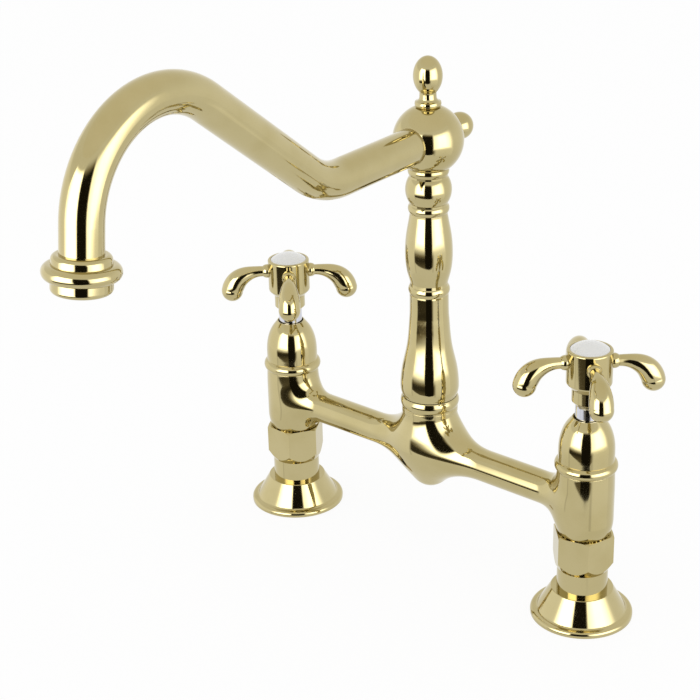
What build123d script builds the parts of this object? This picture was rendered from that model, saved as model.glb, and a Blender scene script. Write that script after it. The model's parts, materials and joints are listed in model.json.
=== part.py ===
from build123d import *
import os
from math import cos, radians, sin, sqrt, tan

os.makedirs("parts", exist_ok=True)

# Frame: the worktop is the plane Z = 0, X runs along the bridge, the spout reaches towards -Y
# at rest, and the origin is midway between the two legs. All sizes are in millimetres.

# ---------------------------------------------------------------- driving dimensions
LEG_SPACING = 203.2          # between the two tap holes, eight inches
LEG = LEG_SPACING / 2
FIT = 0.05                   # radial clearance of a running or threaded fit

# bridge casting
ARM_Z = 66.3                 # height of the two arms' centreline
ARM_R = 8.7
ARM_BORE = 5.0
NECK_TOP = 91.8              # top of the middle socket
NECK_R = 15.2
SPIGOT_R = 9.0               # journal of the spout that turns in the socket
SPIGOT_BORE = SPIGOT_R + FIT
SOCKET_R = SPIGOT_R + 3.9    # wide mouth over the spigot bore
SOCKET_FLOOR = 82.5
CHAMBER_FLOOR = 57.0
MIDDLE_FILLET = 22.0         # where the arms run into the middle body
VALVE_FILLET = 7.0           # where they run into the valve bodies

# union and shank under each valve body
SHANK_R = 11.9
UNION_R = SHANK_R + 1.3      # male union thread
NUT_ACROSS_FLATS = 2 * UNION_R + 2.6
NUT_BOTTOM = 28.8
NUT_STEP = 36.5              # inside the nut, where the thread ends and its lip begins
WATERWAY = 7.0
TAIL_R = 10.48               # half-inch pipe thread of the supply tail
TAIL_TOP = -42.0
TAIL_BOTTOM = -64.0

# valve body at each end of the bridge
VALVE_BORE = 12.0
VALVE_R = max(VALVE_BORE + 3.1, UNION_R + 1.9)
VALVE_BOTTOM = 41.5
VALVE_SHOULDER = 50.0        # where the body narrows to the union thread
VALVE_FLOOR = 52.0
VALVE_TOP = 86.0
NUT_TOP = VALVE_SHOULDER - 0.1

# ceramic quarter-turn cartridge
CARTRIDGE_R = VALVE_BORE - FIT
SKIRT_R = VALVE_BORE - 1.4
DISC_BORE = SKIRT_R - 1.1
DISC_Z = 60.0                # underside of the fixed disc
DISC_THICK = 3.0
PORT_R = 0.27 * DISC_BORE
PORT_REACH = 0.53 * DISC_BORE
STEM_R = 4.0
SQUARE = 5.6                 # across the flats of the stem's square end
NECK_SLEEVE_R = STEM_R + 2.6
NECK_SLEEVE_TOP = 122.5

# bonnet over the cartridge
BONNET_BORE = VALVE_BORE + 1.0
BONNET_TOP = 115.5
BONNET_MOUTH = NECK_SLEEVE_R + 0.6
BEAD_Z = VALVE_TOP + 2.7

# cross handle
HUB_R = 11.7
HUB_BOTTOM = 123.2
HUB_NECK_R = 8.6
HUB_NECK_TOP = 131.5
HUB_TOP = 153.0
HUB_EDGE = 0.8               # rounding of the hub's upper rim
HUB_ARM_Z = 146.0
BUTTON_SEAT = HUB_TOP - 2.5
SCREW_SEAT = BUTTON_SEAT - 3.0
STEM_TOP = SCREW_SEAT - 1.5
HANDLE_ARMS = 4
ARM_TIP_R = 6.1
LEFT_TURN = 42.6             # direction of one arm of each shut handle, degrees
RIGHT_TURN = 44.2
LEFT_NUT_TURN = -1.6         # direction of one corner of each union nut, degrees
RIGHT_NUT_TURN = 13.3
BUTTON_R = HUB_R - 1.8
BUTTON_DOME = 3.5

# flanges and what clamps the worktop
SLEEVE_R = SHANK_R + 1.5
FLANGE_R = 27.0
FLANGE_TOP = 16.2
LEDGE_R = SLEEVE_R + 3.0     # level top of the flange
GASKET_TOP = 2.2             # roof of the flange's gasket groove
DECK = 25.0                  # thickness of the worktop that the pieces below are drawn up to
DECK_GASKET = 3.0
DECK_WASHER = 1.5
LOCKNUT_HEIGHT = 8.0
LOCKNUT_ACROSS_FLATS = 2 * SHANK_R + 8.2

# spout
COLUMN_BOTTOM = 98.9
COLUMN_BORE = 5.5
BALL_R = 18.4
BALL_Z = 242.2
COLUMN_TOP = BALL_Z - 14.8
TUBE_R = 9.525               # three-quarter inch tube
TUBE_WALL = 1.2
TUBE_Z = BALL_Z
DIP_REACH = 86.8             # where the level run turns upwards
RISE = 37.6                  # slope of the rising run, degrees
DIP_BEND = 43.0
PEAK_BEND = 48.0
OUTLET_REACH = 244.8         # centre of the outlet's mouth
OUTLET_Z = 241.2
OUTLET_TILT = 6.9            # the outlet leg leans out by this much, degrees
SWING = 3.0                  # the spout stands this far off centre at rest, degrees


# ---------------------------------------------------------------- helpers
def beside(x=0.0, y=0.0):
    """Plane through an upright axis: its x is the radius and its y the height."""
    return Plane(origin=(x, y, 0), x_dir=(1, 0, 0), z_dir=(0, -1, 0))


def upright(x=0.0, y=0.0):
    """Upright axis through x, y."""
    return Axis((x, y, 0), (0, 0, 1))


def level(x, z):
    """Level plane at height z, centred on the leg at x."""
    return Plane(origin=(x, 0, z), x_dir=(1, 0, 0), z_dir=(0, 0, 1))


def washer(x, bottom, top, inner, outer):
    """Flat ring on the axis at x."""
    with BuildPart() as ring:
        with BuildSketch(level(x, bottom)):
            Circle(outer)
            Circle(inner, mode=Mode.SUBTRACT)
        extrude(amount=top - bottom)
    return ring.part


def seal_ring(x, z, outer, side):
    """Rubber ring of square section, centred at height z."""
    return washer(x, z - side / 2, z + side / 2, outer - side, outer)


def dome_radius(half_width, rise):
    """Radius of the arc over a dome of this half width and rise."""
    return (half_width**2 + rise**2) / (2 * rise)


# ---------------------------------------------------------------- bridge casting
BOWL_BOTTOM = 44.4           # underside of the middle body
NECK_SEAM = NECK_TOP - 2.6   # foot of the ring round the socket's mouth
CAST_TOP = NECK_TOP + 10.0   # the blends are run up to here, then cut off at the seam


def arm_joints(body, middle):
    """Edges where the arms run into the middle body, or else into the valve bodies."""
    return body.edges().filter_by(
        lambda e: e.geom_type == GeomType.BSPLINE
        and e.bounding_box().size.Y > ARM_R
        and (abs(e.center().X) < LEG / 2) == middle
    )


with BuildPart() as bridge_body:
    # middle body: a straight neck over a rounded bowl
    with BuildSketch(beside()):
        with BuildLine():
            Line((0, CAST_TOP), (NECK_R - 0.3, CAST_TOP))
            Spline(
                (NECK_R - 0.3, CAST_TOP),
                (NECK_R - 0.3, NECK_TOP - 1.8),
                (NECK_R + 0.2, 80.0),
                (NECK_R + 1.7, 69.0),
                (NECK_R + 1.9, 61.0),
                (NECK_R, 53.2),
                (NECK_R - 4.4, 47.8),
                (0, BOWL_BOTTOM),
                tangents=((0.02, -1), (-1, 0)),
            )
            Line((0, BOWL_BOTTOM), (0, CAST_TOP))
        make_face()
    revolve(axis=Axis.Z)

    # the two arms, blended into the middle body
    with BuildSketch(Plane(origin=(-LEG, 0, ARM_Z), x_dir=(0, 1, 0), z_dir=(1, 0, 0))):
        Circle(ARM_R)
    extrude(amount=LEG_SPACING)
    fillet(arm_joints(bridge_body, True), radius=MIDDLE_FILLET)
    split(bisect_by=Plane.XY.offset(NECK_SEAM), keep=Keep.BOTTOM)
    with BuildSketch(level(0, NECK_SEAM)):
        Circle(NECK_R)
    extrude(amount=NECK_TOP - NECK_SEAM)

    # a turned valve body at each end
    for leg_x in (-LEG, LEG):
        with BuildSketch(beside(leg_x)):
            with BuildLine():
                Polyline(
                    (0, VALVE_BOTTOM),
                    (UNION_R, VALVE_BOTTOM),
                    (UNION_R, VALVE_SHOULDER),
                    (UNION_R + 0.3, VALVE_SHOULDER),
                )
                Spline(
                    (UNION_R + 0.3, VALVE_SHOULDER),
                    (VALVE_R - 0.6, VALVE_SHOULDER + 3.0),
                    (VALVE_R - 0.05, 61.0),
                    (VALVE_R, 70.0),
                    (VALVE_R - 0.2, VALVE_TOP - 0.5),
                    tangents=((0.4, 1), (-0.01, 1)),
                )
                Polyline(
                    (VALVE_R - 0.2, VALVE_TOP - 0.5), (VALVE_R - 0.6, VALVE_TOP), (0, VALVE_TOP)
                )
                Line((0, VALVE_TOP), (0, VALVE_BOTTOM))
            make_face()
        revolve(axis=upright(leg_x))
    fillet(arm_joints(bridge_body, False), radius=VALVE_FILLET)

    # waterways: one through both arms, one up from each leg, and the valve and spigot bores
    with BuildSketch(Plane(origin=(-LEG, 0, ARM_Z), x_dir=(0, 1, 0), z_dir=(1, 0, 0))):
        Circle(ARM_BORE)
    extrude(amount=LEG_SPACING, mode=Mode.SUBTRACT)
    with BuildSketch(level(0, CHAMBER_FLOOR)):
        Circle(SPIGOT_BORE)
    extrude(amount=NECK_TOP - CHAMBER_FLOOR, mode=Mode.SUBTRACT)
    with BuildSketch(level(0, SOCKET_FLOOR)):
        Circle(SOCKET_R)
    extrude(amount=NECK_TOP - SOCKET_FLOOR, mode=Mode.SUBTRACT)
    for leg_x in (-LEG, LEG):
        with BuildSketch(level(leg_x, VALVE_FLOOR)):
            Circle(VALVE_BORE)
        extrude(amount=VALVE_TOP - VALVE_FLOOR, mode=Mode.SUBTRACT)
        with BuildSketch(level(leg_x, VALVE_BOTTOM)):
            Circle(WATERWAY)
        extrude(amount=VALVE_FLOOR - VALVE_BOTTOM, mode=Mode.SUBTRACT)


# ---------------------------------------------------------------- pieces of one leg
FOOT_BOTTOM = DISC_Z + 2 * (DISC_THICK + FIT)    # foot of the stem, on the moving disc
FOOT_TOP = FOOT_BOTTOM + 3.6
FOOT_R = DISC_BORE - 2.3
TONGUE = 2.8                 # width of the stem's tongue, and how deep it sits in the disc
TONGUE_DEEP = 1.2
CARTRIDGE_HEX = 6.0          # height of the hexagon on the cartridge
BONNET_STRAIGHT = VALVE_TOP + 11.0
STEM_SEAL_Z = VALVE_TOP + 10.7
STEM_SEAL_SIDE = 1.2
SQUARE_BOTTOM = HUB_BOTTOM + 2.8
SCREW_R = 1.6
SCREW_HEAD_R = 4.0
SCREW_BOTTOM = STEM_TOP - 10.0
COLLAR_FACE = VALVE_BOTTOM - 2.0                 # top of the shank's collar, under its washer
GASKET_FACE = -DECK - DECK_GASKET                # undersides of the gasket and washer below
WASHER_FACE = GASKET_FACE - DECK_WASHER


def make_bonnet(x):
    """Domed cover, with a bead round its foot, over the cartridge."""
    with BuildPart() as bonnet:
        with BuildSketch(beside(x)):
            with BuildLine():
                foot = VALVE_R - 0.5
                Polyline((BONNET_BORE, VALVE_TOP), (foot, VALVE_TOP))
                ThreePointArc((foot, VALVE_TOP), (VALVE_R + 1.2, BEAD_Z), (foot, BEAD_Z + 2.8))
                Polyline(
                    (foot, BEAD_Z + 2.8), (foot - 0.35, BEAD_Z + 3.1), (foot - 0.1, BEAD_Z + 3.5)
                )
                Spline(
                    (foot - 0.1, BEAD_Z + 3.5),
                    (VALVE_R - 0.9, 101.6),
                    (VALVE_R - 2.05, 106.7),
                    (VALVE_R - 4.15, 111.3),
                    (BONNET_MOUTH + 0.5, BONNET_TOP),
                    tangents=((0, 1), (-0.8, 1)),
                )
                Polyline(
                    (BONNET_MOUTH + 0.5, BONNET_TOP),
                    (BONNET_MOUTH, BONNET_TOP),
                    (BONNET_MOUTH, BONNET_TOP - 1.6),
                )
                Spline(
                    (BONNET_MOUTH, BONNET_TOP - 1.6),
                    (BONNET_BORE - 2.6, 107.6),
                    (BONNET_BORE, BONNET_STRAIGHT),
                    tangents=((0.7, -1), (0, -1)),
                )
                Line((BONNET_BORE, BONNET_STRAIGHT), (BONNET_BORE, VALVE_TOP))
            make_face()
        revolve(axis=upright(x))
    return bonnet.part


def make_cartridge_body(x):
    """Brass cartridge housing with side windows, a hexagon, and the plated neck on top."""
    flange_top = VALVE_TOP + 4.0
    with BuildPart() as body:
        with BuildSketch(beside(x)):
            with BuildLine():
                Polyline(
                    (DISC_BORE, VALVE_FLOOR + 2.0),
                    (SKIRT_R, VALVE_FLOOR + 2.0),
                    (SKIRT_R, FOOT_TOP + 2.3),
                    (CARTRIDGE_R, FOOT_TOP + 2.3),
                    (CARTRIDGE_R, VALVE_TOP),
                    (BONNET_BORE - FIT, VALVE_TOP),
                    (BONNET_BORE - FIT, flange_top),
                    (NECK_SLEEVE_R, flange_top),
                    (NECK_SLEEVE_R, NECK_SLEEVE_TOP - 0.5),
                    (NECK_SLEEVE_R - 0.5, NECK_SLEEVE_TOP),
                    (STEM_R + FIT, NECK_SLEEVE_TOP),
                    (STEM_R + FIT, FOOT_TOP + 0.3),
                    (DISC_BORE, FOOT_TOP + 0.3),
                    close=True,
                )
            make_face()
        revolve(axis=upright(x))
        with BuildSketch(level(x, flange_top)):
            RegularPolygon(radius=BONNET_BORE - 3.5, side_count=6, major_radius=False)
            Circle(NECK_SLEEVE_R - 0.5, mode=Mode.SUBTRACT)
        extrude(amount=CARTRIDGE_HEX)
        with BuildSketch(Plane(origin=(x, 0, ARM_Z + 0.2), x_dir=(0, 1, 0), z_dir=(1, 0, 0))):
            SlotOverall(8.0, 5.0)
        extrude(amount=SKIRT_R + 1, both=True, mode=Mode.SUBTRACT)
    return body.part


def make_seat_seal(x):
    """Rubber seat that presses the discs up and seals on the valve floor."""
    bore = PORT_REACH + 0.5
    brim_top = VALVE_FLOOR + 1.9
    with BuildPart() as seal:
        with BuildSketch(beside(x)):
            with BuildLine():
                Polyline(
                    (bore, VALVE_FLOOR),
                    (SKIRT_R + 0.6, VALVE_FLOOR),
                    (SKIRT_R + 0.6, brim_top),
                    (DISC_BORE - FIT, brim_top),
                    (DISC_BORE - FIT, DISC_Z),
                    (bore, DISC_Z),
                    close=True,
                )
            make_face()
        revolve(axis=upright(x))
    return seal.part


def make_fixed_disc(x):
    """Lapped ceramic disc with two ports, held in the housing."""
    with BuildPart() as disc:
        with BuildSketch(level(x, DISC_Z)):
            Circle(DISC_BORE - FIT)
            with PolarLocations(PORT_REACH, 2, start_angle=90):
                Circle(PORT_R, mode=Mode.SUBTRACT)
        extrude(amount=DISC_THICK)
    return disc.part


def make_moving_disc(x):
    """Lapped ceramic disc that turns with the stem; its ports are shut off at rest."""
    with BuildPart() as disc:
        with BuildSketch(level(x, DISC_Z + DISC_THICK + FIT)):
            Circle(DISC_BORE - 4 * FIT)
            with PolarLocations(PORT_REACH, 2, start_angle=0):
                Circle(PORT_R, mode=Mode.SUBTRACT)
        extrude(amount=DISC_THICK)
        with BuildSketch(level(x, FOOT_BOTTOM - FIT - TONGUE_DEEP - 0.1)):
            Rectangle(TONGUE + 0.2, 2 * FOOT_R - 0.4)
        extrude(amount=TONGUE_DEEP + 0.1, mode=Mode.SUBTRACT)
    return disc.part


def make_stem(x):
    """Brass spindle: tongue and foot below, sealed shaft, square end above."""
    with BuildPart() as stem:
        with BuildSketch(level(x, FOOT_BOTTOM)):
            Circle(FOOT_R)
        extrude(amount=FOOT_TOP - FOOT_BOTTOM)
        with BuildSketch(level(x, FOOT_BOTTOM - TONGUE_DEEP)):
            Rectangle(TONGUE, 2 * FOOT_R - 0.8)
        extrude(amount=TONGUE_DEEP)
        with BuildSketch(level(x, FOOT_TOP)):
            Circle(STEM_R)
        extrude(amount=SQUARE_BOTTOM - FOOT_TOP)
        with BuildSketch(level(x, SQUARE_BOTTOM)):
            Rectangle(SQUARE, SQUARE)
        extrude(amount=STEM_TOP - SQUARE_BOTTOM)
        with BuildSketch(level(x, SCREW_BOTTOM - 2.0)):
            Circle(SCREW_R + FIT)
        extrude(amount=STEM_TOP - SCREW_BOTTOM + 2.0, mode=Mode.SUBTRACT)
        with BuildSketch(level(x, STEM_SEAL_Z - STEM_SEAL_SIDE / 2 - 0.1)):
            Circle(STEM_R + 1)
            Circle(STEM_R - STEM_SEAL_SIDE, mode=Mode.SUBTRACT)
        extrude(amount=STEM_SEAL_SIDE + 0.2, mode=Mode.SUBTRACT)
    return stem.part


# centreline and thickness of one handle arm: distance from the axis, height, radius, slope down
ARM_STATIONS = [
    (9.5, HUB_ARM_Z, 2.9, 0),
    (14.5, HUB_ARM_Z - 0.05, 2.9, 1),
    (18.0, HUB_ARM_Z - 0.2, 3.15, 5),
    (21.3, HUB_ARM_Z - 0.8, 3.75, 12),
    (24.6, HUB_ARM_Z - 1.9, 4.6, 23),
    (27.6, HUB_ARM_Z - 3.6, 5.35, 38),
    (30.0, HUB_ARM_Z - 6.0, 5.9, 53),
    (31.7, HUB_ARM_Z - 8.8, 6.1, 68),
    (32.5, HUB_ARM_Z - 11.2, ARM_TIP_R - 0.2, 80),
]
ROOT_BEAD = 3.9              # radius of the bead where an arm leaves the hub
BEAD_REACH = HUB_R + 0.5


def make_handle(x, turn):
    """Cross handle: turned hub with four drooping arms that end in teardrops."""
    with BuildPart() as handle:
        with BuildSketch(beside(x)):
            with BuildLine():
                Polyline(
                    (0, HUB_BOTTOM),
                    (HUB_NECK_R - 1.6, HUB_BOTTOM),
                    (HUB_NECK_R, HUB_BOTTOM + 1.8),
                    (HUB_NECK_R, HUB_NECK_TOP),
                    (HUB_R - 0.2, HUB_NECK_TOP + 3.2),
                    (HUB_R, HUB_NECK_TOP + 3.9),
                    (HUB_R, HUB_TOP - HUB_EDGE),
                )
                ThreePointArc(
                    (HUB_R, HUB_TOP - HUB_EDGE),
                    (HUB_R - 0.3 * HUB_EDGE, HUB_TOP - 0.3 * HUB_EDGE),
                    (HUB_R - HUB_EDGE, HUB_TOP),
                )
                Polyline((HUB_R - HUB_EDGE, HUB_TOP), (0, HUB_TOP), (0, HUB_BOTTOM))
            make_face()
        revolve(axis=upright(x))
        for arm in range(HANDLE_ARMS):
            angle = radians(turn + arm * 360 / HANDLE_ARMS)
            out = Vector(cos(angle), sin(angle), 0)
            for reach, height, radius, slope in ARM_STATIONS:
                dip = radians(slope)
                along = out * cos(dip) - Vector(0, 0, sin(dip))
                centre = Vector(x, 0, height) + out * reach
                with BuildSketch(Plane(origin=centre, x_dir=out.cross(Vector(0, 0, 1)), z_dir=along)):
                    Circle(radius)
            loft()
            tip_reach, tip_height, _, _ = ARM_STATIONS[-1]
            with Locations(Plane(origin=Vector(x, 0, tip_height) + out * tip_reach, z_dir=along)):
                Sphere(ARM_TIP_R)
            # round bead where the arm leaves the hub
            root = Plane(origin=(x, 0, HUB_ARM_Z), x_dir=out, z_dir=out.cross(Vector(0, 0, 1)))
            bead_end = BEAD_REACH + 2.45
            with BuildSketch(root):
                with BuildLine():
                    Polyline(
                        (BEAD_REACH - 3.2, 0),
                        (BEAD_REACH - 3.2, ROOT_BEAD - 1.3),
                        (BEAD_REACH - 2.2, ROOT_BEAD - 0.7),
                    )
                    ThreePointArc(
                        (BEAD_REACH - 2.2, ROOT_BEAD - 0.7),
                        (BEAD_REACH, ROOT_BEAD),
                        (bead_end, ROOT_BEAD - 0.87),
                    )
                    Polyline((bead_end, ROOT_BEAD - 0.87), (bead_end, 0), (BEAD_REACH - 3.2, 0))
                make_face()
            revolve(axis=Axis((x, 0, HUB_ARM_Z), out))
        # seat for the button, room for the screw, square socket and clearance for the shaft
        with BuildSketch(level(x, BUTTON_SEAT)):
            Circle(BUTTON_R + 0.15)
        extrude(amount=HUB_TOP - BUTTON_SEAT, mode=Mode.SUBTRACT)
        with BuildSketch(level(x, SCREW_SEAT)):
            Circle(SCREW_HEAD_R + 0.8)
        extrude(amount=BUTTON_SEAT - SCREW_SEAT, mode=Mode.SUBTRACT)
        with BuildSketch(level(x, STEM_TOP + 0.2)):
            Circle(SCREW_R + 0.3)
        extrude(amount=SCREW_SEAT - STEM_TOP - 0.2, mode=Mode.SUBTRACT)
        with BuildSketch(level(x, SQUARE_BOTTOM)):
            Rectangle(SQUARE + 2 * FIT, SQUARE + 2 * FIT)
        extrude(amount=STEM_TOP + 0.2 - SQUARE_BOTTOM, mode=Mode.SUBTRACT)
        with BuildSketch(level(x, HUB_BOTTOM)):
            Circle(STEM_R + 0.2)
        extrude(amount=SQUARE_BOTTOM - HUB_BOTTOM, mode=Mode.SUBTRACT)
    return handle.part


def make_handle_screw(x):
    """Round-headed screw that holds the handle down on the stem."""
    head_side = SCREW_SEAT + 1.1
    head_dome = 1.7
    head_top = head_side + head_dome
    with BuildPart() as screw:
        with BuildSketch(beside(x)):
            with BuildLine():
                Polyline(
                    (0, SCREW_BOTTOM),
                    (SCREW_R - 0.4, SCREW_BOTTOM),
                    (SCREW_R, SCREW_BOTTOM + 0.5),
                    (SCREW_R, SCREW_SEAT),
                    (SCREW_HEAD_R, SCREW_SEAT),
                    (SCREW_HEAD_R, head_side),
                )
                RadiusArc(
                    (SCREW_HEAD_R, head_side), (0, head_top), -dome_radius(SCREW_HEAD_R, head_dome)
                )
                Line((0, head_top), (0, SCREW_BOTTOM))
            make_face()
        revolve(axis=upright(x))
        with BuildSketch(level(x, SCREW_SEAT + 1.5)):
            Rectangle(5.0, 1.0)
            Rectangle(1.0, 5.0)
        extrude(amount=1.5, mode=Mode.SUBTRACT)
    return screw.part


def make_index_button(x):
    """Domed porcelain disc in the top of the handle."""
    edge = HUB_TOP - 0.1
    with BuildPart() as button:
        with BuildSketch(beside(x)):
            with BuildLine():
                Polyline(
                    (0, BUTTON_SEAT),
                    (BUTTON_R - 0.4, BUTTON_SEAT),
                    (BUTTON_R, BUTTON_SEAT + 0.4),
                    (BUTTON_R, edge),
                )
                RadiusArc((BUTTON_R, edge), (0, edge + BUTTON_DOME), -dome_radius(BUTTON_R, BUTTON_DOME))
                Line((0, edge + BUTTON_DOME), (0, BUTTON_SEAT))
            make_face()
        revolve(axis=upright(x))
    return button.part


def make_union_nut(x, turn):
    """Hexagon nut that hooks under the shank's collar and screws up onto the valve body."""
    corner = NUT_ACROSS_FLATS / 2 / cos(radians(30))
    with BuildPart() as nut:
        with BuildSketch(level(x, NUT_BOTTOM)):
            RegularPolygon(radius=corner, side_count=6, rotation=turn)
        extrude(amount=NUT_TOP - NUT_BOTTOM)
        # corners turned off at the foot and lightly at the top
        with BuildSketch(beside(x)):
            with BuildLine():
                Polyline(
                    (SLEEVE_R + 0.2, NUT_BOTTOM),
                    (corner + 0.2, NUT_BOTTOM + 5.8),
                    (corner + 3, NUT_BOTTOM + 5.8),
                    (corner + 3, NUT_BOTTOM),
                    close=True,
                )
            make_face()
            with BuildLine():
                Polyline(
                    (corner - 1.4, NUT_TOP),
                    (corner + 0.6, NUT_TOP - 1.2),
                    (corner + 3, NUT_TOP - 1.2),
                    (corner + 3, NUT_TOP),
                    close=True,
                )
            make_face()
        revolve(axis=upright(x), mode=Mode.SUBTRACT)
        with BuildSketch(level(x, NUT_BOTTOM)):
            Circle(SHANK_R + 3 * FIT)
        extrude(amount=NUT_STEP - NUT_BOTTOM, mode=Mode.SUBTRACT)
        with BuildSketch(level(x, NUT_STEP)):
            Circle(UNION_R + FIT)
        extrude(amount=NUT_TOP - NUT_STEP, mode=Mode.SUBTRACT)
    return nut.part


def make_shank(x):
    """Threaded tube through the worktop, with a union collar above and the supply tail below."""
    with BuildPart() as shank:
        with BuildSketch(beside(x)):
            with BuildLine():
                Polyline(
                    (WATERWAY, TAIL_BOTTOM),
                    (TAIL_R - 1.0, TAIL_BOTTOM),
                    (TAIL_R, TAIL_BOTTOM + 1.0),
                    (TAIL_R, TAIL_TOP),
                    (SHANK_R - 0.8, TAIL_TOP),
                    (SHANK_R, TAIL_TOP + 0.8),
                    (SHANK_R, NUT_STEP),
                    (UNION_R - 0.2, NUT_STEP),
                    (UNION_R - 0.2, COLLAR_FACE),
                    (WATERWAY, COLLAR_FACE),
                    close=True,
                )
            make_face()
        revolve(axis=upright(x))
    return shank.part


def make_flange(x):
    """Hollow bell-shaped flange that covers the tap hole."""
    with BuildPart() as flange:
        with BuildSketch(beside(x)):
            with BuildLine():
                cone_top = (LEDGE_R + 0.15, FLANGE_TOP - 0.4)
                cone_foot = (FLANGE_R - 3.8, 4.1)
                band = (FLANGE_R - 2.4, 3.35)
                rim = (FLANGE_R - 1.2, 3.2)
                Polyline((SHANK_R + 0.1, FLANGE_TOP), (LEDGE_R - 0.4, FLANGE_TOP))
                ThreePointArc(
                    (LEDGE_R - 0.4, FLANGE_TOP), (LEDGE_R - 0.05, FLANGE_TOP - 0.11), cone_top
                )
                Line(cone_top, cone_foot)
                ThreePointArc(cone_foot, (FLANGE_R - 3.3, 3.6), band)
                Line(band, rim)
                ThreePointArc(rim, (FLANGE_R - 0.3, 2.5), (FLANGE_R, 1.4))
                Polyline(
                    (FLANGE_R, 1.4),
                    (FLANGE_R, 0.3),
                    (FLANGE_R - 1.5, 0.3),
                    (FLANGE_R - 1.5, GASKET_TOP),
                    (FLANGE_R - 5.0, GASKET_TOP),
                    (FLANGE_R - 5.8, 4.1),
                    (LEDGE_R - 1.1, FLANGE_TOP - 1.8),
                    (SHANK_R + 0.1, FLANGE_TOP - 1.8),
                    (SHANK_R + 0.1, FLANGE_TOP),
                )
            make_face()
        revolve(axis=upright(x))
    return flange.part


def make_locknut(x):
    """Hexagon nut that draws the shank down against the underside of the worktop."""
    with BuildPart() as nut:
        with BuildSketch(level(x, WASHER_FACE - LOCKNUT_HEIGHT)):
            RegularPolygon(radius=LOCKNUT_ACROSS_FLATS / 2, side_count=6, major_radius=False)
            Circle(SHANK_R + FIT, mode=Mode.SUBTRACT)
        extrude(amount=LOCKNUT_HEIGHT)
    return nut.part


# ---------------------------------------------------------------- spout swivel
RING_TOP = COLUMN_BOTTOM - 0.4                   # beaded ring under the column
SHOULDER_Z = SOCKET_FLOOR + 1.5                  # retaining shoulder of the spigot
SHOULDER_TOP = SHOULDER_Z + 2.6
SPIGOT_BOTTOM = 72.4
STUD_R = 8.0                                     # thread of the spigot inside the column
STUD_TOP = 112.0
SEAL_HEIGHTS = (SOCKET_FLOOR - 6.9, SOCKET_FLOOR - 2.9)
SEAL_SIDE = 1.7                                  # of the rings' square section

with BuildPart() as swivel_nut:
    # beaded ring above the socket, with a threaded skirt inside it
    with BuildSketch(beside()):
        with BuildLine():
            Polyline(
                (SPIGOT_R + 0.3, RING_TOP),
                (SPIGOT_R + 0.3, SHOULDER_TOP + 0.4),
                (SOCKET_R - FIT, SHOULDER_TOP + 0.4),
                (SOCKET_R - FIT, NECK_TOP),
                (NECK_R - 0.1, NECK_TOP),
                (NECK_R - 0.1, NECK_TOP + 0.9),
            )
            ThreePointArc(
                (NECK_R - 0.1, NECK_TOP + 0.9),
                (NECK_R + 0.7, NECK_TOP + 3.8),
                (NECK_R - 0.1, RING_TOP - 0.3),
            )
            Polyline(
                (NECK_R - 0.1, RING_TOP - 0.3), (NECK_R - 0.4, RING_TOP), (SPIGOT_R + 0.3, RING_TOP)
            )
        make_face()
    revolve(axis=Axis.Z)

friction_washer = washer(0, SOCKET_FLOOR, SHOULDER_Z - 0.2, SPIGOT_R + 0.3, SOCKET_R - 0.3)

with BuildPart() as spigot:
    # hollow journal that turns in the socket: retaining shoulder, two seal grooves, thread above
    with BuildSketch(beside()):
        with BuildLine():
            Polyline(
                (COLUMN_BORE, SPIGOT_BOTTOM),
                (SPIGOT_R - 0.5, SPIGOT_BOTTOM),
                (SPIGOT_R, SPIGOT_BOTTOM + 0.5),
                (SPIGOT_R, SHOULDER_Z),
                (SOCKET_R - 0.4, SHOULDER_Z),
                (SOCKET_R - 0.4, SHOULDER_TOP),
                (SPIGOT_R, SHOULDER_TOP),
                (SPIGOT_R, COLUMN_BOTTOM),
                (STUD_R, COLUMN_BOTTOM),
                (STUD_R, STUD_TOP),
                (COLUMN_BORE, STUD_TOP),
                close=True,
            )
        make_face()
    revolve(axis=Axis.Z)
    for seal_z in SEAL_HEIGHTS:
        with BuildSketch(level(0, seal_z - SEAL_SIDE / 2 - 0.1)):
            Circle(SPIGOT_R + 1)
            Circle(SPIGOT_R - SEAL_SIDE - FIT, mode=Mode.SUBTRACT)
        extrude(amount=SEAL_SIDE + 0.2, mode=Mode.SUBTRACT)

# ---------------------------------------------------------------- column
TENON_R = COLUMN_BORE + 1.45                     # end of the column inside the ball
TENON = 6.1

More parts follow.
